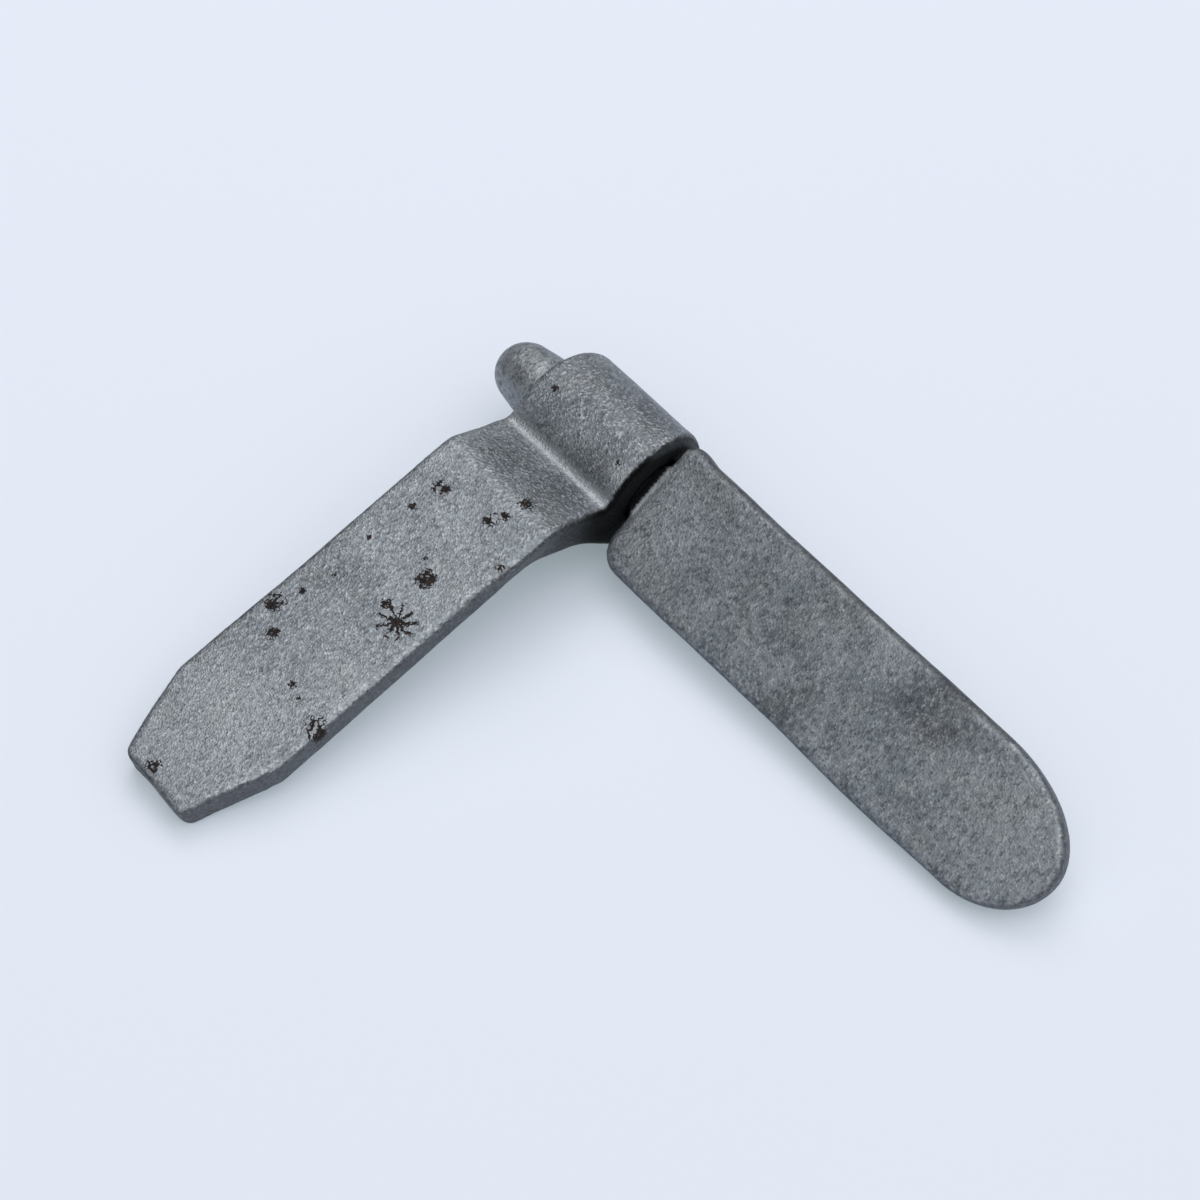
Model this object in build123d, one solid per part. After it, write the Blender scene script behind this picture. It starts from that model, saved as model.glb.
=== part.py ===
from build123d import *
from math import asin, atan2, cos, degrees, hypot, radians, sin, tan
import os

# Weld-on barrel hinge: two steel forgings and nothing else. One is a strap that ends
# in a barrel, the other is a leaf that ends in a pin, and the pin turns in the barrel.
#
# Origin: on the hinge line, at the middle of the barrel's length.
# Axes: +Y runs along the pin towards the leaf, +X towards the strap's tip, +Z is up.
# The hinge is drawn as it lies on a bench: the barrel and the strap's tip are level
# underneath, and the leaf is rolled a little about the pin.
# All sizes are in millimetres.

# --- driving dimensions: the barrel and the strap that is forged with it ---
barrel_r = 14.4  # outside radius
barrel_len = 32.0  # along the pin, the same as the strap's width
strap_w = 32.0
strap_top = 18.9  # height of the strap's upper face over the hinge line
strap_thk_bend = 5.8  # thickness where the strap leaves the bend
strap_thk_tip = 7.5  # thickness at the tip
strap_reach = 120.3  # hinge line to the middle of the tip
square_x = 40.0  # the strap's sides are parallel to here
shoulder_x = 100.8  # where the tip's chamfers start
shoulder_far = -16.1  # the shoulders' distances beside the middle of the barrel:
shoulder_near = 16.5  # the hammered strap stands a little towards the leaf
tip_far = -9.3  # corners of the blunt end
tip_near = 9.7
tip_skew = 0.35  # the blunt end is this much out of square, half its difference
bend_x = 26.0  # upper bend line
bend_slope = 36.0  # degrees that the strap drops from the bend to the barrel
under_bend_x = 33.3  # lower bend line
under_slope = 34.0  # degrees of the underside next to the lower bend line
root_angle = 35.0  # degrees below level where the underside runs into the barrel
crease_fillet = 1.8  # hollow between strap and barrel, upper side
bend_fillet = 5.0
under_bend_fillet = 12.0
root_fillet = 20.0
tip_corner_r = 2.6
shoulder_r = 5.0
forged_edge_r = 1.2  # worn edge round both sides of the forging
rim_r = 3.0  # rounding of the barrel's rims at the back
rim_shift = 1.2  # the rounding's centre stands this much towards the strap, so it fades out

# --- driving dimensions: the leaf and the pin that is forged with it ---
pin_r = 8.0
pin_clearance = 0.08  # radial
nose_overhang = 16.7  # pin's end past the barrel's far face
nose_r = 7.2  # radius of the domed end
nose_taper = 10.0  # degrees a side, from the full pin down to the dome
leaf_gap = 0.4  # between the barrel's end and the leaf
leaf_len = 121.4
leaf_w = 31.0
leaf_thk = 6.0
leaf_side_shift = 2.7  # leaf's centre line beside the hinge line, strap side
leaf_rise = 1.9  # leaf's middle plane over the hinge line
leaf_tip_far = 27.5  # length of the oval tip on the side away from the strap
leaf_tip_near = 18.7  # and on the strap's side
leaf_tip_shift = 0.8  # the tip's foremost point beside the leaf's centre line
leaf_corner_far = 2.4  # near-end corner on the side away from the strap
leaf_corner_near = 6.4  # near-end corner on the strap's side
leaf_edge_r = 1.7
root_len = 26.0  # half-oval run-out of the pin's lower half under the leaf

# --- the way it lies ---
leaf_roll = 31.2  # degrees that the leaf's strap side hangs lower

# --- values that follow from the ones above ---
bore_r = pin_r + pin_clearance
leaf_y = barrel_len / 2 + leaf_gap
under_z_bend = strap_top - strap_thk_bend
under_z_tip = strap_top - strap_thk_tip
profile_end = strap_reach + 2 * tip_skew  # the side profile is cut to the outline
# The strap leans so that the underside of its tip is level with the barrel's underside.
strap_lean = degrees(
    asin(barrel_r / hypot(strap_reach, under_z_tip)) + atan2(under_z_tip, strap_reach)
)


def line_meet(p, slope_p, q, slope_q):
    """Where the line through p meets the line through q, slopes in degrees."""
    tp, tq = tan(radians(slope_p)), tan(radians(slope_q))
    x = (q[1] - p[1] + tp * p[0] - tq * q[0]) / (tp - tq)
    return (x, p[1] + tp * (x - p[0]))


def corner_at(builder, point):
    """The corner next to a point, in the sketch that is being built."""
    return builder.vertices().sort_by_distance(Vector(*point))[0]


def side_profile():
    """Side view of the strap and barrel in the XZ plane, before the strap leans."""
    bend = (bend_x, strap_top)
    under_bend = (under_bend_x, under_z_bend)
    root = (barrel_r * cos(radians(root_angle)), -barrel_r * sin(radians(root_angle)))
    under_knee = line_meet(under_bend, under_slope, root, 90 - root_angle)
    slope_run = bend_x - barrel_r * 0.4
    inner = (bend_x - slope_run, strap_top - slope_run * tan(radians(bend_slope)))
    with BuildSketch() as profile:
        Circle(barrel_r)
        Polygon(
            (0, 0),
            root,
            under_knee,
            under_bend,
            (profile_end, under_z_tip),
            (profile_end, strap_top),
            bend,
            inner,
            align=None,
        )
        crease = (barrel_r * cos(radians(bend_slope)), barrel_r * sin(radians(bend_slope)))
        for point, radius in (
            (crease, crease_fillet),
            (bend, bend_fillet),
            (under_bend, under_bend_fillet),
            (under_knee, root_fillet),
        ):
            fillet(corner_at(profile, point), radius)
    return profile.sketch


def strap_outline():
    """The strap seen from above: parallel sides and a blunt tip with two chamfers."""
    with BuildSketch() as outline:
        shoulders = ((shoulder_x, shoulder_far), (shoulder_x, shoulder_near))
        tip = ((strap_reach + tip_skew, tip_far), (strap_reach - tip_skew, tip_near))
        Polygon(
            (-2 * barrel_r, -strap_w / 2),
            (square_x, -strap_w / 2),
            shoulders[0],
            *tip,
            shoulders[1],
            (square_x, strap_w / 2),
            (-2 * barrel_r, strap_w / 2),
            align=None,
        )
        for point in tip:
            fillet(corner_at(outline, point), tip_corner_r)
        for point in shoulders:
            fillet(corner_at(outline, point), shoulder_r)
    return outline.sketch


def barrel_strap():
    with BuildPart() as forging:
        with BuildSketch(Plane.XZ):
            add(side_profile())
        extrude(amount=barrel_len, both=True)
        with BuildSketch(Plane.XY.offset(-2 * barrel_r)):
            add(strap_outline())
        extrude(amount=4 * barrel_r, mode=Mode.INTERSECT)
        body = forging.part
    rounded = body.fillet(forged_edge_r, outline_edges(body))
    bore = Cylinder(bore_r, 2 * barrel_len, rotation=(90, 0, 0))
    return (rounded - rim_cutter() - bore).rotate(Axis.Y, strap_lean)


def outline_edges(body):
    """The edges round the forging's two sides and its tip."""

    def on_outline(face):
        normal = face.normal_at()
        upright = abs(normal.Z) < 1e-3
        return upright and (abs(normal.Y) > 0.02 or face.center().X > shoulder_x)

    edges = [edge for face in body.faces().filter_by(on_outline) for edge in face.edges()]
    shared = [e for e in edges if sum(e.is_same(other) for other in edges) > 1]
    return [e for e in edges if not any(e.is_same(other) for other in shared)]


def rim_cutter():
    """Rounds the barrel's rims more at the back, and less and less towards the strap."""
    reach = barrel_r + rim_shift
    with BuildPart() as cutter:
        with Locations((rim_shift, 0, 0)):
            Cylinder(reach, barrel_len, rotation=(90, 0, 0))
        fillet(cutter.edges().filter_by(GeomType.CIRCLE), rim_r)
    behind = (Align.MAX, Align.CENTER, Align.CENTER)
    return Box(2 * barrel_r, 2 * barrel_len, 4 * barrel_r, align=behind) - cutter.part


def leaf_blank():
    """The flat leaf before it is moved beside the hinge line, near end at y = 0."""
    half = leaf_w / 2
    tip_x, far_y, near_y = leaf_tip_shift, leaf_len - leaf_tip_far, leaf_len - leaf_tip_near
    with BuildPart() as blank:
        with BuildSketch() as plan:
            with BuildLine():
                Polyline((half, near_y), (half, 0), (-half, 0), (-half, far_y))
                EllipticalCenterArc((tip_x, near_y), half - tip_x, leaf_tip_near, 0, arc_size=90)
                EllipticalCenterArc((tip_x, far_y), half + tip_x, leaf_tip_far, 90, arc_size=90)
            make_face()
            fillet(corner_at(plan, (half, 0)), leaf_corner_near)
            fillet(corner_at(plan, (-half, 0)), leaf_corner_far)
        extrude(amount=leaf_thk / 2, both=True)
        rims = blank.edges().filter_by(lambda e: abs((e @ 0).Z - (e @ 1).Z) < 0.01)
        fillet(rims, leaf_edge_r)
    return blank.part


def pin():
    """The pin with its tapered, domed nose, turned about the hinge line."""
    end_y = -barrel_len / 2 - nose_overhang
    dome_y = end_y + nose_r
    slope = radians(nose_taper)
    meet = (nose_r * cos(slope), dome_y - nose_r * sin(slope))
    full_y = meet[1] + (pin_r - meet[0]) / tan(slope)
    mid = radians((90 + nose_taper) / 2)
    with BuildPart() as shaft:
        with BuildSketch(Plane.XY):
            with BuildLine():
                ThreePointArc(
                    (0, end_y), (nose_r * cos(mid), dome_y - nose_r * sin(mid)), meet
                )
                Polyline(meet, (pin_r, full_y), (pin_r, leaf_y + leaf_edge_r))
                Polyline((pin_r, leaf_y + leaf_edge_r), (0, leaf_y + leaf_edge_r), (0, end_y))
            make_face()
        revolve(axis=Axis.Y)
    return shaft.part


def pin_root():
    """Half-oval run-out of the pin into the leaf's underside."""
    with BuildPart() as root:
        with BuildSketch(Plane.XY):
            with BuildLine():
                EllipticalCenterArc((0, leaf_y), pin_r, root_len, 0, arc_size=90)
                Polyline((0, leaf_y + root_len), (0, leaf_y), (pin_r, leaf_y))
            make_face()
        revolve(axis=Axis.Y)
        with Locations((0, leaf_y + root_len / 2, leaf_rise - 2 * pin_r)):
            Box(4 * pin_r, 2 * root_len, 4 * pin_r, mode=Mode.INTERSECT)
    return root.part


def over_leaf():
    """The space over the leaf's upper face, where the pin doesn't stand."""
    upper_face = leaf_rise + leaf_thk / 2
    low_corner = (Align.CENTER, Align.MIN, Align.MIN)
    return Box(4 * pin_r, 2 * pin_r, pin_r, align=low_corner).moved(Location((0, leaf_y, upper_face)))


def pin_leaf():
    leaf = leaf_blank().moved(Location((leaf_side_shift, leaf_y, leaf_rise)))
    shank = pin() + pin_root() - over_leaf()
    return (leaf + shank).rotate(Axis.Y, leaf_roll)


os.makedirs("parts", exist_ok=True)
for name, piece in (("barrel_strap", barrel_strap()), ("pin_leaf", pin_leaf())):
    export_step(piece, f"parts/{name}.step")
    print(name, "solids", len(piece.solids()), "volume", round(piece.volume), "mm3")
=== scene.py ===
import math

import bmesh
import bpy
from mathutils import Matrix, Vector, noise


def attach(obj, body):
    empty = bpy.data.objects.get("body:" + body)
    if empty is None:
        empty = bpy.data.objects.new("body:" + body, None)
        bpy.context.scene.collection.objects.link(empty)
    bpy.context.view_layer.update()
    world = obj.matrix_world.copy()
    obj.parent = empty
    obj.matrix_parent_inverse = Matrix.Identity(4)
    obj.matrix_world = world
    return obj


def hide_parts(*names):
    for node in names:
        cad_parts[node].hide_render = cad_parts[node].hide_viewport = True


# A weld-on barrel hinge on a pale bench: a strap forged with its barrel, and a leaf
# forged with its pin. Lengths in the dictionaries are millimetres in the hinge's frame.
# A pair named after a fade is the value where it begins and the value where it is full.

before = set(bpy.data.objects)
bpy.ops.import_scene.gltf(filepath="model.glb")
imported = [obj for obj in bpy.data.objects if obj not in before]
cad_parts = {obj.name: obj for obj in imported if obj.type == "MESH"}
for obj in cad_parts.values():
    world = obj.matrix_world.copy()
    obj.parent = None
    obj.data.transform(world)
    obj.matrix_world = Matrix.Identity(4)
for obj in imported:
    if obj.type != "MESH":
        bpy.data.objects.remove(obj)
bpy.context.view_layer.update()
mm = 0.001
print("frame loaded:", sorted(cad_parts))


def putOn(tree, socket, value):
    # a link from another node, or a constant on the socket itself
    if isinstance(value, bpy.types.NodeSocket):
        tree.links.new(value, socket)
    else:
        socket.default_value = value


def addNode(tree, kind, **sockets):
    # a node with values or links put on its inputs by name
    node = tree.nodes.new(kind)
    for name, value in sockets.items():
        putOn(tree, node.inputs[name.replace("_", " ")], value)
    return node


def mathNode(tree, operation, a, b=0.0, clamp=False):
    node = tree.nodes.new("ShaderNodeMath")
    node.operation, node.use_clamp = operation, clamp
    putOn(tree, node.inputs[0], a)
    putOn(tree, node.inputs[1], b)
    return node.outputs[0]


def plus(tree, a, b):
    return mathNode(tree, "ADD", a, b)


def times(tree, a, b):
    return mathNode(tree, "MULTIPLY", a, b)


def swing(tree, value, middle, gain):
    # how far a value is from its middle, made larger or smaller
    return times(tree, mathNode(tree, "SUBTRACT", value, middle), gain)


def noiseNode(tree, coords, scale, detail, rough):
    node = addNode(tree, "ShaderNodeTexNoise", Vector=coords, Scale=scale, Detail=detail, Roughness=rough)
    return node.outputs["Fac"]


def rampNode(tree, value, low, high):
    # 0 below low, 1 above high, smooth between; falls instead when low is the larger
    node = addNode(tree, "ShaderNodeMapRange", Value=value, From_Min=low, From_Max=high)
    node.interpolation_type = "SMOOTHSTEP"
    return node.outputs["Result"]


def maskNode(tree, name):
    # a mask painted on the vertices
    node = tree.nodes.new("ShaderNodeAttribute")
    node.attribute_name = name
    return node.outputs["Fac"]


def mixColour(tree, factor, a, b):
    node = tree.nodes.new("ShaderNodeMix")
    node.data_type = "RGBA"
    putOn(tree, node.inputs["Factor"], factor)
    for side, colour in (("A", a), ("B", b)):
        putOn(tree, node.inputs[side], colour if isinstance(colour, bpy.types.NodeSocket) else (*colour, 1))
    return node.outputs["Result"]


bench = dict(
    contacts=((-0.3, 14.8, -14.4), (119.2, 8.2, -14.0), (14.4, 121.4, -9.7)),  # barrel, tip, leaf
    side=12000.0,
    colour=(0.75, 0.793, 0.885),
    glow=0.27,  # share of the bench's paleness that no shadow takes away
    glowColour=(0.69, 0.845, 0.885),
    rough=0.75,
    specular=0.25,
)

view = dict(
    position=(317.4, 323.2, 608.5),
    aim=(20.3, 21.9, -14.1),
    roll=3.68,  # degrees
    lens=106.7,
    sensor=36.0,
    nearest=10.0,
)

studio = dict(
    sky=(  # height on the dome, from 0 at the horizon to 1 overhead, and its colour
        (0.13, (0.57, 0.61, 0.67)),
        (0.22, (0.06, 0.065, 0.07)),
        (0.32, (0.09, 0.095, 0.10)),
        (0.57, (0.50, 0.51, 0.52)),
        (0.95, (0.97, 0.99, 1.0)),
    ),
    dimSide=dict(fade=(-0.58, -0.24), level=0.04),  # the dome is darker beyond the hinge's far side
    skyLevel=1.67,
    softbox=dict(place=(-700.0, -900.0, 1500.0), size=1200.0, power=10.0),
)


def benchPlane():
    # the plane that the hinge stands on: a point in it and its upward direction
    a, b, c = (Vector(p) * mm for p in bench["contacts"])
    up = (b - a).cross(c - a).normalized()
    return a, up if up.z > 0 else -up


def benchFinish():
    mat = bpy.data.materials.new("benchFinish")
    mat.use_nodes = True
    shader = mat.node_tree.nodes["Principled BSDF"]
    lit = (c - g * bench["glow"] for c, g in zip(bench["colour"], bench["glowColour"]))
    shader.inputs["Base Color"].default_value = (*lit, 1)
    shader.inputs["Roughness"].default_value = bench["rough"]
    shader.inputs["Specular IOR Level"].default_value = bench["specular"]
    shader.inputs["Emission Color"].default_value = (*bench["glowColour"], 1)
    shader.inputs["Emission Strength"].default_value = bench["glow"]
    return mat


def makeBench():
    point, up = benchPlane()
    floorMesh = bpy.data.meshes.new("bench")
    bm = bmesh.new()
    bmesh.ops.create_grid(bm, x_segments=1, y_segments=1, size=bench["side"] * mm / 2)
    bm.transform(Matrix.Translation(point) @ up.to_track_quat("Z", "Y").to_matrix().to_4x4())
    bm.to_mesh(floorMesh)
    bm.free()
    floor = bpy.data.objects.new("bench", floorMesh)
    bpy.context.scene.collection.objects.link(floor)
    floor.data.materials.append(benchFinish())
    print("bench made, tilted", round(math.degrees(up.angle(Vector((0, 0, 1)))), 2), "degrees")


def aimed(place, aim):
    # where a camera or lamp stands, turned to look at a point
    turn = (aim - place).to_track_quat("-Z", "Y").to_matrix().to_4x4()
    return Matrix.Translation(place) @ turn


def makeCamera():
    cam = bpy.data.cameras.new("camera")
    cam.lens, cam.sensor_width = view["lens"], view["sensor"]
    cam.clip_start = view["nearest"] * mm
    camera = bpy.data.objects.new("camera", cam)
    roll = Matrix.Rotation(math.radians(view["roll"]), 4, "Z")
    camera.matrix_world = aimed(Vector(view["position"]) * mm, Vector(view["aim"]) * mm) @ roll
    bpy.context.scene.collection.objects.link(camera)
    bpy.context.scene.camera = camera


def makeSoftbox(name, place, size, power):
    light = bpy.data.lights.new(name, "AREA")
    light.shape, light.size, light.energy = "SQUARE", size * mm, power
    lamp = bpy.data.objects.new(name, light)
    lamp.matrix_world = aimed(Vector(place) * mm, Vector())
    bpy.context.scene.collection.objects.link(lamp)


def makeSky():
    world = bpy.data.worlds.new("sky")
    world.use_nodes = True
    bpy.context.scene.world = world
    tree = world.node_tree
    coord = tree.nodes.new("ShaderNodeTexCoord")
    split = addNode(tree, "ShaderNodeSeparateXYZ", Vector=coord.outputs["Generated"])
    dome = addNode(tree, "ShaderNodeValToRGB", Fac=split.outputs["Z"])
    stops = dome.color_ramp.elements
    while len(stops) < len(studio["sky"]):
        stops.new(0.5)
    for stop, (height, colour) in zip(stops, studio["sky"]):
        stop.position, stop.color = height, (*colour, 1)

    dimSide = studio["dimSide"]
    side = rampNode(tree, split.outputs["Y"], *dimSide["fade"])
    level = plus(tree, times(tree, side, 1 - dimSide["level"]), dimSide["level"])
    dimmed = tree.nodes.new("ShaderNodeVectorMath")
    dimmed.operation = "SCALE"
    tree.links.new(level, dimmed.inputs["Scale"])
    tree.links.new(dome.outputs["Color"], dimmed.inputs[0])
    background = tree.nodes["Background"]
    tree.links.new(dimmed.outputs[0], background.inputs["Color"])
    background.inputs["Strength"].default_value = studio["skyLevel"]


makeBench()
makeCamera()
makeSky()
makeSoftbox("softbox", **studio["softbox"])
print("camera and lights placed")


# what the skins of both forgings share
skin = dict(
    cloudFade=(0.32, 0.68),
    warmFade=(0.48, 0.68),
    areaFade=(1.15, 0.35),  # in radii of the area
    areaCloud=0.35,
    facetShare=0.5,
    fleckFade=(0.72, 1.18),
    pitFade=(0.74, 0.38),
    mottleMiddle=0.75,
    wornFade=(0.45, 1.0),
    grainRough=0.16,
    specular=0.2,
)

# how the rust marks are drawn
rustShape = dict(
    toneFade=(0.42, 0.62),
    roughness=0.3,
    grainMiddle=0.5,
    vein=dict(scale=0.42, middle=0.5, width=0.072, crumble=0.22, fade=(-0.012, 0.018)),
    starReach=(1.15, 0.2),  # in radii of the star
    starRim=(0.02, 0.15),
    blotRagged=3.2,
    blotFade=(0.85, 0.65),  # in radii of the blot
    crooked=dict(scale=0.7, amount=5.0),
    armRagged=1.3,
    armFade=0.6,
    burstRagged=3.0,
    burstFade=0.85,
    topFade=(16.0, 17.0),  # the burst is on the strap's upper face alone
)


def forgedFinish(name, look, lean):
    mat = bpy.data.materials.new(name)
    mat.use_nodes = True
    tree = mat.node_tree
    shader = tree.nodes["Principled BSDF"]
    coord = tree.nodes.new("ShaderNodeTexCoord")
    flat = addNode(tree, "ShaderNodeMapping", Vector=coord.outputs["Object"])
    flat.inputs["Scale"].default_value = (1 / mm, 1 / mm, 1 / mm)
    flat.inputs["Rotation"].default_value = (0, math.radians(-lean), 0)
    place = flat.outputs[0]  # millimetres, with the broad face level

    # the scale's slow clouding, from dark to light, with warmer patches
    clouding = noiseNode(tree, place, look["cloudScale"], detail=4, rough=0.6)
    cloud = rampNode(tree, clouding, *skin["cloudFade"])
    colour = mixColour(tree, cloud, look["dark"], look["light"])
    warming = noiseNode(tree, place, look["warmScale"], detail=3, rough=0.6)
    patch = rampNode(tree, warming, *skin["warmFade"])
    colour = mixColour(tree, times(tree, patch, look["warmth"]), colour, look["warm"])
    for tone, areas in ((look["pale"], look["paleAreas"]), (look["deep"], look["darkAreas"])):
        for area in areas:
            colour = mixColour(tree, softArea(tree, place, cloud, *area), colour, tone)

    # the blasted skin: facets under half a millimetre, over a coarser pebble
    facet = addNode(tree, "ShaderNodeTexVoronoi", Vector=place, Scale=look["facetScale"])
    chance = addNode(tree, "ShaderNodeSeparateColor", Color=facet.outputs["Color"])
    pebble = noiseNode(tree, place, look["pebbleScale"], detail=3, rough=0.62)
    grain = noiseNode(tree, place, look["grainScale"], detail=2, rough=0.6)
    mottle = plus(tree, times(tree, chance.outputs[0], skin["facetShare"]), pebble)
    fleck = times(tree, rampNode(tree, mottle, *skin["fleckFade"]), look["fleck"])
    colour = mixColour(tree, fleck, colour, look["bright"])
    pit = times(tree, rampNode(tree, mottle, *skin["pitFade"]), look["pit"])
    colour = mixColour(tree, pit, colour, look["deep"])

    # rubbed edges, broken up by the grain, then painted highlight with some wear where rubbed, dark scale
    # with painted shade on the sides, and painted shade in the joint
    uneven = swing(tree, mottle, skin["mottleMiddle"], look["wearBreak"])
    edge = rampNode(tree, plus(tree, maskNode(tree, "worn"), uneven), *skin["wornFade"])
    colour = mixColour(tree, times(tree, edge, look["wear"]), colour, look["edge"])
    # painted highlight with wear, dark scale with painted shade, and painted shade in the joint
    for label, tone in (("wearAndHighlight", look["pale"]), ("scaleAndShade", look["scaleAndShadeTone"]), ("paintedShade", look["paintedShadeTone"])):
        colour = mixColour(tree, maskNode(tree, label), colour, tone)

    rough = plus(tree, look["rough"], times(tree, grain, skin["grainRough"]))
    metal = look["metal"]
    if look["rust"]:
        marks = look["rust"]
        rust = rustMask(tree, place, grain, marks["stars"], marks["blots"], marks["burst"])
        warmth = rampNode(tree, pebble, *rustShape["toneFade"])
        colour = mixColour(tree, rust, colour, mixColour(tree, warmth, marks["dark"], marks["warm"]))
        rough = mathNode(tree, "ADD", rough, times(tree, rust, rustShape["roughness"]), clamp=True)
        metal = times(tree, mathNode(tree, "SUBTRACT", 1.0, rust), metal)
    putOn(tree, shader.inputs["Base Color"], colour)
    putOn(tree, shader.inputs["Roughness"], rough)
    putOn(tree, shader.inputs["Metallic"], metal)
    shader.inputs["Specular IOR Level"].default_value = skin["specular"]

    dimple = times(tree, facet.outputs["Distance"], look["facetDepth"])
    height = plus(tree, times(tree, pebble, look["pebbleDepth"]), dimple)
    bump = addNode(tree, "ShaderNodeBump", Height=height, Strength=1.0, Distance=mm)
    tree.links.new(bump.outputs[0], shader.inputs["Normal"])
    return mat


def farFrom(tree, place, spot, radius):
    # distance from a spot, counted in its own radius
    away = tree.nodes.new("ShaderNodeVectorMath")
    away.operation = "DISTANCE"
    tree.links.new(place, away.inputs[0])
    away.inputs[1].default_value = spot
    return mathNode(tree, "DIVIDE", away.outputs["Value"], radius)


def softArea(tree, place, cloud, x, y, z, radius, strength):
    # a cloudy area with no clear rim
    wide = plus(tree, farFrom(tree, place, (x, y, z), radius), times(tree, cloud, skin["areaCloud"]))
    return times(tree, rampNode(tree, wide, *skin["areaFade"]), strength)


def nearestOf(tree, place, spots):
    nearest = None
    for x, y, z, radius in spots:
        share = farFrom(tree, place, (x, y, z), radius)
        nearest = share if nearest is None else mathNode(tree, "MINIMUM", nearest, share)
    return nearest


def ragged(tree, grain, amount):
    # what the grain adds to a distance, so that a rim is not smooth
    return swing(tree, grain, rustShape["grainMiddle"], amount)


def burstMask(tree, place, grain, x, y, arms, width, reach):
    # rust that has crept outwards from one point in narrow, slightly crooked arms
    centred = addNode(tree, "ShaderNodeMapping", Vector=place)
    centred.inputs["Location"].default_value = (-x, -y, 0)
    split = addNode(tree, "ShaderNodeSeparateXYZ", Vector=centred.outputs[0])
    across, along = (mathNode(tree, "POWER", split.outputs[axis], 2.0) for axis in "XY")
    out = mathNode(tree, "SQRT", plus(tree, across, along))
    turn = times(tree, mathNode(tree, "ARCTAN2", split.outputs["Y"], split.outputs["X"]), arms / 2)
    crooked = noiseNode(tree, place, rustShape["crooked"]["scale"], detail=2, rough=0.6)
    turn = plus(tree, turn, times(tree, crooked, rustShape["crooked"]["amount"]))
    off = mathNode(tree, "ABSOLUTE", mathNode(tree, "SINE", turn))
    off = times(tree, times(tree, out, off), 2 / arms)
    off = plus(tree, off, ragged(tree, grain, rustShape["armRagged"]))
    arm = rampNode(tree, off, width, width * rustShape["armFade"])
    rim = plus(tree, out, ragged(tree, grain, rustShape["burstRagged"]))
    return times(tree, arm, rampNode(tree, rim, reach, reach * rustShape["burstFade"]))


def rustMask(tree, place, grain, stars, blots, burst):
    # stars are branching veins round a middle, blots are solid with a crumbly rim
    vein = rustShape["vein"]
    line = noiseNode(tree, place, vein["scale"], detail=2, rough=0.6)
    line = mathNode(tree, "ABSOLUTE", mathNode(tree, "SUBTRACT", line, vein["middle"]))
    reach = rampNode(tree, nearestOf(tree, place, stars), *rustShape["starReach"])
    star = mathNode(tree, "SUBTRACT", times(tree, reach, vein["width"]), line)
    star = rampNode(tree, plus(tree, star, ragged(tree, grain, vein["crumble"])), *vein["fade"])
    star = times(tree, star, rampNode(tree, reach, *rustShape["starRim"]))
    blot = plus(tree, nearestOf(tree, place, blots), ragged(tree, grain, rustShape["blotRagged"]))
    spots = mathNode(tree, "MAXIMUM", star, rampNode(tree, blot, *rustShape["blotFade"]))
    split = addNode(tree, "ShaderNodeSeparateXYZ", Vector=place)
    onTop = rampNode(tree, split.outputs["Z"], *rustShape["topFade"])
    return mathNode(tree, "MAXIMUM", spots, times(tree, burstMask(tree, place, grain, **burst), onTop))


def ease(value, low, high):
    # 0 below low, 1 above high, smooth between
    t = min(max((value - low) / (high - low), 0.0), 1.0)
    return t * t * (3 - 2 * t)


def soften(bm, verts, passes):
    for _ in range(passes):
        bmesh.ops.smooth_vert(bm, verts=verts, factor=0.5, use_axis_x=True, use_axis_y=True, use_axis_z=True)


def hammerOut(bm, pushes):
    # each push moves the metal round a point, less and less out to its reach
    for middle, reach, shift in pushes:
        for vert in bm.verts:
            away = [(c / mm - m) / r for c, m, r in zip(vert.co, middle, reach)]
            share = 1 - ease(math.sqrt(sum(a * a for a in away)), 0.0, 1.0)
            if share > 0:
                vert.co += Vector(shift) * share * mm


# the faces on which the two forgings run: the pin in its bore, and the flat ends
running = dict(radius=10.5, end=18.0, gap=(15.2, 17.6))


def dentSurface(bm, forging):
    # in and out by the same amount, but only inwards where the two forgings run on each other
    swell, dents = forging["swell"], forging["dents"]
    elsewhere = Vector((7.3, 1.1, 4.9))  # so that the dents do not follow the swell
    for vert in bm.verts:
        at = vert.co / mm
        onPin = math.hypot(at.x, at.z) < running["radius"] and at.y < running["end"]
        inwards = 0.5 if onPin or running["gap"][0] < at.y < running["gap"][1] else 0.0
        slow = inwards + 0.5 * noise.noise(at / swell["size"])
        quick = inwards + 0.5 * noise.noise(at / dents["size"] + elsewhere)
        vert.co -= vert.normal * (slow * swell["depth"] + quick * dents["depth"]) * mm


def edgeWear(bm, full, evenings=2):
    # how sharply the surface turns outwards at each vertex, evened out
    turn = [0.0] * len(bm.verts)
    for vert in bm.verts:
        bend = 0.0
        for edge in vert.link_edges:
            away = edge.other_vert(vert).co - vert.co
            bend += -2 * vert.normal.dot(away) / max(away.length_squared, 1e-12)
        turn[vert.index] = bend / max(len(vert.link_edges), 1) * mm
    for _ in range(evenings):
        around = [[turn[edge.other_vert(vert).index] for edge in vert.link_edges] for vert in bm.verts]
        turn = [0.5 * own + 0.5 * sum(others) / len(others) for own, others in zip(turn, around)]
    return [min(max(t / full, 0.0), 1.0) for t in turn]


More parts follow.
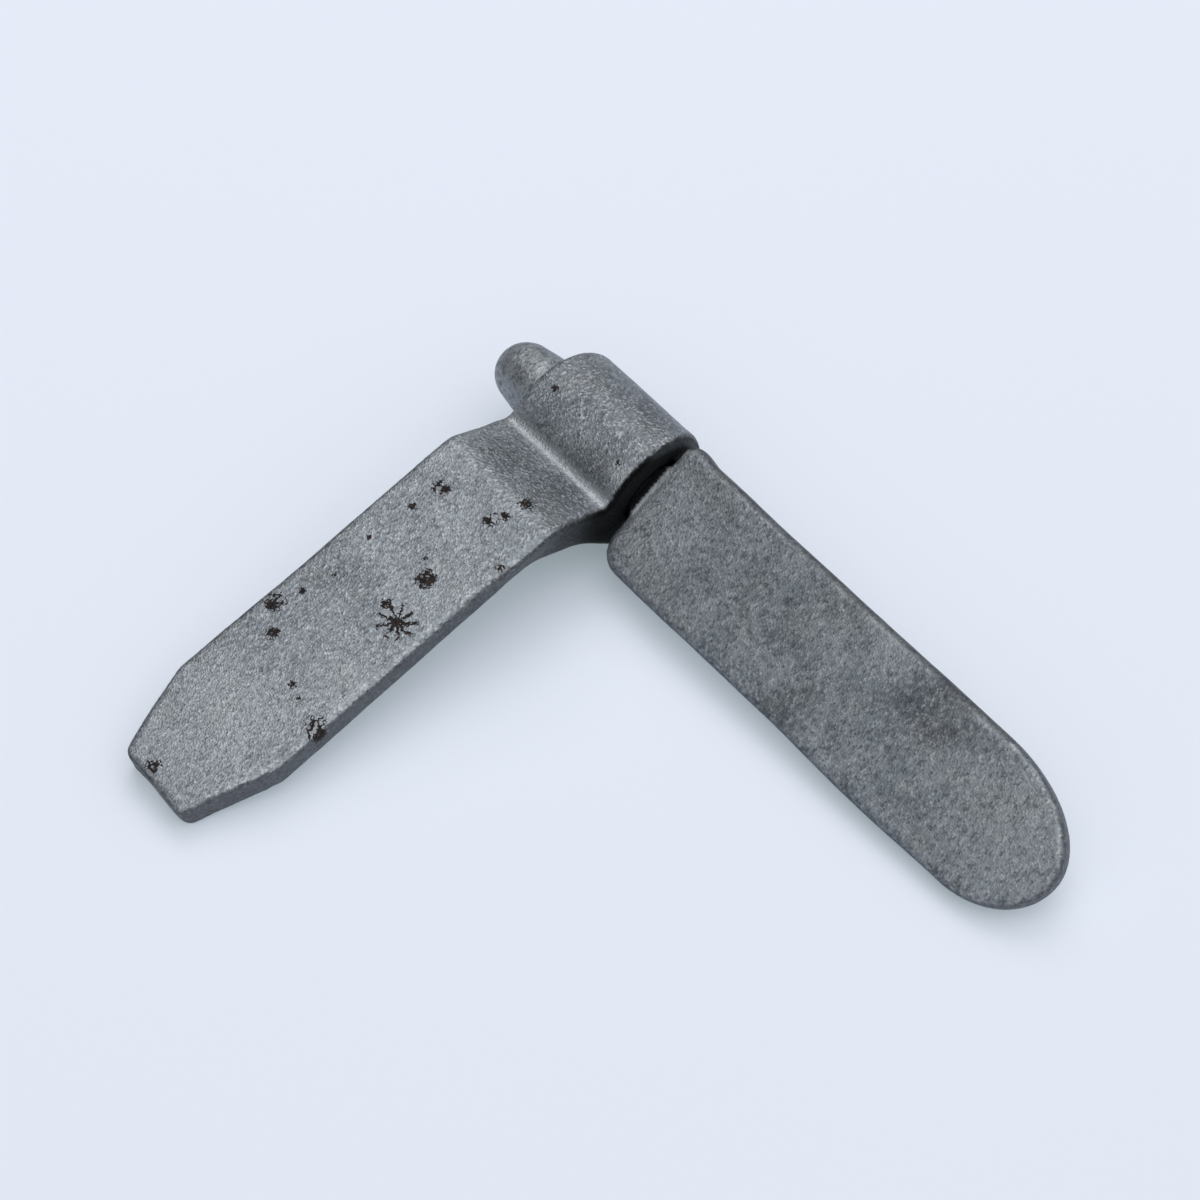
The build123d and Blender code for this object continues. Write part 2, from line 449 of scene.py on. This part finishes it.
def fineCopy(name, solid, voxel):
    # an even skin of small faces over a merged copy of the solid
    merged = bpy.data.meshes.new(name)
    bm = bmesh.new()
    bm.from_mesh(solid.data)
    bmesh.ops.remove_doubles(bm, verts=bm.verts, dist=1e-6)
    bm.to_mesh(merged)
    bm.free()
    piece = bpy.data.objects.new(name, merged)
    bpy.context.scene.collection.objects.link(piece)
    remesh = piece.modifiers.new("skin", "REMESH")
    remesh.mode, remesh.voxel_size, remesh.adaptivity = "VOXEL", voxel * mm, 0.0
    evaluated = piece.evaluated_get(bpy.context.evaluated_depsgraph_get())
    fine = bpy.data.meshes.new_from_object(evaluated)
    piece.modifiers.clear()
    piece.data = fine
    fine.materials.clear()
    return piece


def makeForging(name, forging, reshape, handled, wearAndHighlight, scaleAndShade, paintedShade):
    # the skin is softened, reshaped and hammered, and its wear, painted highlight and painted shade are
    # stored on its vertices
    piece = fineCopy(name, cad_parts[forging["node"]], forging["voxel"])
    fine = piece.data
    fine.materials.append(forgedFinish(name + "Finish", forging["look"], forging["lean"]))

    turn = Matrix.Rotation(math.radians(forging["lean"]), 4, "Y")
    bm = bmesh.new()
    bm.from_mesh(fine)
    bm.transform(turn.inverted())  # the broad face is level while the skin is worked
    soften(bm, bm.verts, forging["softPasses"])
    reshape(bm, forging)
    hammerOut(bm, forging["pushes"])
    bm.normal_update()
    dentSurface(bm, forging)
    bm.normal_update()
    masks = dict(
        worn=[weight * handled(vert) for vert, weight in zip(bm.verts, edgeWear(bm, forging["wornFull"]))],
        wearAndHighlight=[wearAndHighlight(vert) for vert in bm.verts],
        scaleAndShade=[scaleAndShade(vert) for vert in bm.verts],
        paintedShade=[paintedShade(vert) for vert in bm.verts],
    )
    for face in bm.faces:
        face.smooth = True
    bm.transform(turn)
    bm.to_mesh(fine)
    bm.free()
    for label, values in masks.items():
        layer = fine.attributes.new(label, "FLOAT", "POINT")
        layer.data.foreach_set("value", values)
    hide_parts(forging["node"])
    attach(piece, forging["body"])
    print(name, "faces", len(fine.polygons))


strapForging = dict(
    node="barrel_strap",
    body="strap_half",
    slot="blasted_forging",
    lean=12.26,  # degrees that the strap hangs towards its tip
    voxel=0.50,
    softPasses=1,
    swell=dict(size=16.0, depth=0.22),  # slow unevenness of the hammered faces
    dents=dict(size=3.2, depth=0.10),
    wornFull=0.75,  # 1/mm of bend that counts as a fully worn edge
    bend=dict(x=24.5, reach=8.0, inside=13.0, above=8.0, facing=0.6, passes=40),  # the upper bend
    # middle, reach and shift: the bend spread to both sides, the far chamfer, the tip's near corner,
    # the barrel's back rim, the far edge of the slope
    pushes=(
        ((31.0, 16.0, 18.9), (16.0, 8.0, 6.0), (0.0, 0.7, 0.0)),
        ((34.0, -16.0, 16.0), (34.0, 9.0, 16.0), (0.0, -0.6, 0.0)),
        ((110.0, -12.0, 16.0), (18.0, 8.0, 10.0), (0.0, -0.35, 0.0)),
        ((120.4, 9.0, 16.0), (7.0, 16.0, 9.0), (1.3, 0.1, 0.0)),
        ((-10.0, 16.0, 8.0), (9.0, 8.0, 9.0), (-0.4, 0.0, 0.3)),
        ((13.5, -16.0, 10.0), (7.0, 8.0, 8.0), (0.0, -0.5, 0.0)),
    ),
    handled=dict(farSide=0.45, more=0.55, fade=(-4.0, 8.0)),
    # painted highlight on the hollow, whose scale is also worn, and a painted glint on the rim patch
    hollow=dict(x=11.5, z=9.2, fade=(0.7, 2.5), facing=0.3, weight=0.66),  # between strap and barrel
    rimPatch=dict(at=(6.3, 14.4, 12.9), fade=(0.5, 3.4), weight=0.5),
    # dark scale and painted shade on the strap's narrow sides
    scaleAndShade=dict(facing=(0.5, 0.8), scale=0.66, tipFrom=99.0, farScale=0.16, farFade=(66.0, 92.0)),
    # painted shade for the barrel's end in the gap, for its rim, which is left unshaded at the back, and for
    # the root under the strap
    paintedShade=dict(endFrom=12.0, endFacing=(0.25, 0.6), endFade=(16.0, 30.0), rimAcross=(-1.0, 6.0),
              rimFade=(11.8, 13.4), rootFacing=(0.0, 0.5), rootFade=(18.0, 36.0), root=0.6),
    look=dict(
        dark=(0.209, 0.227, 0.250), light=(0.289, 0.311, 0.336), bright=(0.62, 0.65, 0.685),
        pale=(0.42, 0.44, 0.465), deep=(0.06, 0.065, 0.075), edge=(0.60, 0.61, 0.61),
        warm=(0.245, 0.253, 0.258), warmScale=0.14, warmth=0.45,
        # tones of the dark scale with painted shade on the sides, and of the painted shade in the gap
        scaleAndShadeTone=(0.045, 0.047, 0.052), paintedShadeTone=(0.008, 0.008, 0.008),
        cloudScale=0.085, facetScale=2.1, pebbleScale=1.15, grainScale=2.1,
        fleck=0.50, pit=0.52, wear=0.6, wearBreak=1.1,
        rough=0.46, metal=0.92, pebbleDepth=0.16, facetDepth=0.10,
        # along the strap, across it, height of its face, radius, and strength for the areas
        paleAreas=(
            (104.0, 3.0, 18.9, 26.0, 0.30), (78.0, 12.0, 18.9, 16.0, 0.2), (31.0, -14.0, 18.9, 5.0, 0.3),
            # the next two areas are painted glints on the barrel's near rim beside the gap
            (6.0, 13.0, 13.0, 4.0, 0.8), (13.0, 15.5, 8.8, 1.6, 0.8),
        ),
        darkAreas=(
            # after the first, the next two dark areas are painted shade over the slope between bend and
            # barrel
            (66.0, -6.0, 18.9, 10.0, 0.15), (19.0, -7.0, 14.5, 9.0, 0.40), (18.5, 7.0, 14.0, 9.0, 0.40),
            (-2.0, -9.0, 10.0, 17.0, 0.28), (-2.0, 9.0, 10.0, 17.0, 0.28), (21.0, -11.0, 16.0, 5.0, 0.25),
            (102.7, 10.6, 18.9, 2.4, 0.3), (88.5, -3.5, 18.9, 2.2, 0.25), (90.5, 3.5, 18.9, 2.4, 0.25),
        ),
        rust=dict(
            dark=(0.010, 0.009, 0.010), warm=(0.030, 0.019, 0.016),
            burst=dict(x=62.2, y=8.6, arms=9, width=0.37, reach=4.6),
            stars=(
                (51.6, 5.4, 18.9, 2.6), (35.5, -8.4, 18.9, 2.3),
                (76.6, -13.0, 18.9, 2.8), (89.5, 14.6, 18.9, 3.0), (82.0, -7.7, 18.9, 2.0),
                (33.2, 4.9, 18.9, 2.0), (118.6, -2.2, 18.4, 2.4),
            ),
            blots=(
                (52.0, 5.6, 18.9, 1.9), (50.6, 6.2, 18.9, 1.2), (61.1, 3.9, 18.9, 1.3),
                (42.7, -9.4, 18.9, 1.0), (53.7, -10.4, 18.9, 0.7),
                (30.4, 6.4, 18.9, 1.1), (33.8, 4.2, 18.9, 0.9),
                (25.3, 7.0, 18.7, 1.9), (22.1, 3.9, 17.0, 0.7), (48.6, 1.7, 18.9, 0.6),
                (78.0, -13.2, 18.9, 1.5), (71.4, -11.0, 18.9, 1.0), (81.5, -7.7, 18.9, 1.2),
                (86.5, 3.9, 18.9, 1.0), (87.5, 7.3, 18.9, 0.6), (89.6, 16.2, 17.4, 1.7),
                (39.2, 14.5, 18.9, 1.0), (64.5, -8.9, 18.9, 0.6), (35.0, -7.2, 18.9, 1.1),
                (2.0, -11.2, 14.3, 1.0), (4.4, 11.3, 13.6, 0.7), (119.0, -2.6, 17.6, 1.4),
            ),
        ),
    ),
)


def softenBend(bm, forging):
    # the upper bend is rounder across its middle than at its edges
    bend = forging["bend"]

    def onBend(vert):
        x, y, z = vert.co / mm
        upper = vert.normal.z > bend["facing"] and z > bend["above"]
        return upper and abs(x - bend["x"]) < bend["reach"] and abs(y) < bend["inside"]

    soften(bm, [vert for vert in bm.verts if onBend(vert)], bend["passes"])


def strapHandled(vert):
    # the edge towards the leaf is rubbed brighter than the far one
    handled = strapForging["handled"]
    return handled["farSide"] + handled["more"] * ease(vert.co.y / mm, *handled["fade"])


def strapWearAndHighlight(vert):
    # painted highlight on the upward faces of the hollow between strap and barrel, where the scale is also
    # worn, and a painted glint on a patch of the barrel's rim
    hollow, patch = strapForging["hollow"], strapForging["rimPatch"]
    x, y, z = vert.co / mm
    inHollow = 1 - ease(math.hypot(x - hollow["x"], z - hollow["z"]), *hollow["fade"])
    onRim = 1 - ease(math.dist((x, y, z), patch["at"]), *patch["fade"])
    return max(hollow["weight"] * inHollow if vert.normal.z > hollow["facing"] else 0.0, patch["weight"] * onRim)


def strapScaleAndShade(vert):
    # dark scale and painted shade on the narrow sides, more of it on the far side towards the tip
    scaleAndShade = strapForging["scaleAndShade"]
    onTip = vert.co.x > scaleAndShade["tipFrom"] * mm
    level = math.hypot(vert.normal.x, vert.normal.y) if onTip else abs(vert.normal.y)
    more = scaleAndShade["farScale"] * ease(vert.co.x / mm, *scaleAndShade["farFade"]) if vert.co.y < 0 else 0.0
    return (scaleAndShade["scale"] + more) * ease(level, *scaleAndShade["facing"])


def strapPaintedShade(vert):
    # painted shade on the barrel's end in the gap against the leaf, and on the root under the strap beside
    # it
    paintedShade = strapForging["paintedShade"]
    x, y, z = vert.co / mm
    away = math.hypot(x, z)
    end = 0.0
    if y > paintedShade["endFrom"]:
        rim = ease(-x, *paintedShade["rimAcross"]) * ease(away, *paintedShade["rimFade"])
        end = ease(vert.normal.y, *paintedShade["endFacing"]) * (1 - ease(away, *paintedShade["endFade"])) * (1 - rim)
    downOrEndwards = max(-vert.normal.z, vert.normal.y)
    root = ease(downOrEndwards, *paintedShade["rootFacing"]) * (1 - ease(away, *paintedShade["rootFade"])) * paintedShade["root"]
    return max(end, root)


makeForging("strapForging", strapForging, reshape=softenBend, handled=strapHandled, wearAndHighlight=strapWearAndHighlight,
            scaleAndShade=strapScaleAndShade, paintedShade=strapPaintedShade)


leafForging = dict(
    node="pin_leaf",
    body="leaf_half",
    slot="scaled_forging",
    lean=31.2,  # degrees that the leaf is rolled about the pin
    voxel=0.50,
    softPasses=2,
    swell=dict(size=20.0, depth=0.30),
    dents=dict(size=3.6, depth=0.08),
    wornFull=0.75,
    # the leaf's near end, how it is rounded, and how much closer it stands at the far side
    end=dict(y=16.4, top=4.9, edge=1.7, square=4, before=0.2, depth=4.0, skew=0.26,
             skewAcross=(-10.0, 12.0), skewFade=(0.6, 3.5)),
    # middle, reach and shift: the far corner's flare, the far edge behind it, the near edge
    pushes=(
        ((-12.8, 19.4, 2.0), (7.0, 5.0, 9.0), (-0.75, 0.0, 0.0)),
        ((-12.8, 27.0, 2.0), (9.0, 20.0, 9.0), (-0.3, 0.0, 0.0)),
        ((18.2, 95.0, 2.0), (9.0, 26.0, 9.0), (0.5, 0.0, 0.0)),
    ),
    handled=dict(farSide=0.15, more=0.35, fade=(-8.0, 0.0), tipFade=(104.0, 124.0)),
    # painted highlight, with some wear, on the leaf's rounded near end
    wearAndHighlight=dict(y=17.6, fade=(0.5, 1.6), facing=(0.3, 0.6), weight=0.6),
    # dark scale and painted shade on the leaf's narrow sides and far edge
    scaleAndShade=dict(y=17.0, facing=(0.5, 0.85), scale=0.5, farFacing=(0.2, 0.55), farScale=0.55, farUntil=112.0),
    # painted shade on the leaf's near end and the pin stub in the gap
    paintedShade=dict(between=(12.0, 19.0), facing=(0.5, 0.9), fade=(16.6, 17.1)),
    look=dict(
        dark=(0.169, 0.190, 0.211), light=(0.245, 0.268, 0.290), bright=(0.52, 0.54, 0.565),
        pale=(0.36, 0.38, 0.40), deep=(0.055, 0.06, 0.07), edge=(0.46, 0.44, 0.41),
        warm=(0.212, 0.215, 0.212), warmScale=0.10, warmth=0.4,
        # tones of the dark scale with painted shade on the sides, and of the painted shade in the gap
        scaleAndShadeTone=(0.045, 0.046, 0.052), paintedShadeTone=(0.008, 0.008, 0.008),
        cloudScale=0.16, facetScale=1.9, pebbleScale=0.75, grainScale=2.1,
        fleck=0.42, pit=0.60, wear=0.7, wearBreak=1.2,
        rough=0.48, metal=0.92, pebbleDepth=0.16, facetDepth=0.08,
        # across the leaf, along it, height of its face, radius, strength
        paleAreas=(
            (-12.2, 80.4, 4.9, 9.0, 0.3), (4.0, 24.0, 4.9, 16.0, 0.35), (0.0, 124.0, 4.9, 20.0, 0.3),
            (0.0, -28.0, 0.0, 30.0, 0.62),
        ),
        darkAreas=(
            (-6.8, 95.5, 4.9, 12.0, 0.54), (12.0, 72.0, 4.9, 9.0, 0.35), (2.0, 62.0, 4.9, 8.0, 0.2),
        ),
        rust=None,
    ),
)


def squareEnd(bm, forging):
    # the leaf's near end is squarer than its other edges, and stands a little closer at the far side
    end = forging["end"]
    for vert in bm.verts:
        x, y, z = vert.co / mm
        if y < end["y"] - end["before"] or y > end["y"] + end["depth"]:
            continue
        out, up = 1 - (y - end["y"]) / end["edge"], 1 - (end["top"] - z) / end["edge"]
        if out > 0 and up > 0:
            grow = math.hypot(out, up) / (out ** end["square"] + up ** end["square"]) ** (1 / end["square"])
            y = end["y"] + (1 - out * grow) * end["edge"]
            z = end["top"] - (1 - up * grow) * end["edge"]
        y -= end["skew"] * ease(-x, *end["skewAcross"]) * (1 - ease(y - end["y"], *end["skewFade"]))
        vert.co = Vector((x, y, z)) * mm


def leafHandled(vert):
    # the oval tip is rubbed brightest and the far edge least
    handled = leafForging["handled"]
    side = handled["farSide"] + handled["more"] * ease(vert.co.x / mm, *handled["fade"])
    return side + (1 - side) * ease(vert.co.y / mm, *handled["tipFade"])


def leafWearAndHighlight(vert):
    # painted highlight, with some wear, on the upward faces of the rounded end next to the barrel
    wearAndHighlight = leafForging["wearAndHighlight"]
    y = (vert.co / mm).y
    near = 1 - ease(abs(y - wearAndHighlight["y"]), *wearAndHighlight["fade"])
    return wearAndHighlight["weight"] * near * ease(vert.normal.z, *wearAndHighlight["facing"])


def leafScaleAndShade(vert):
    # dark scale and painted shade on the narrow sides, and all over the far edge short of the oval tip
    scaleAndShade = leafForging["scaleAndShade"]
    if vert.co.y <= scaleAndShade["y"] * mm:
        return 0.0
    sides = scaleAndShade["scale"] * ease(math.hypot(vert.normal.x, vert.normal.y), *scaleAndShade["facing"])
    onFarEdge = vert.co.y < scaleAndShade["farUntil"] * mm
    return max(sides, scaleAndShade["farScale"] * ease(-vert.normal.x, *scaleAndShade["farFacing"]) if onFarEdge else 0.0)


def leafPaintedShade(vert):
    # painted shade on the leaf's near end and on the stub of pin beside it, which reads as part of the dark
    # gap
    paintedShade = leafForging["paintedShade"]
    y = (vert.co / mm).y
    if not paintedShade["between"][0] < y < paintedShade["between"][1]:
        return 0.0
    return max(ease(-vert.normal.y, *paintedShade["facing"]), 1 - ease(y, *paintedShade["fade"]))


makeForging("leafForging", leafForging, reshape=squareEnd, handled=leafHandled, wearAndHighlight=leafWearAndHighlight,
            scaleAndShade=leafScaleAndShade, paintedShade=leafPaintedShade)

bpy.context.scene.view_settings.view_transform = "Standard"
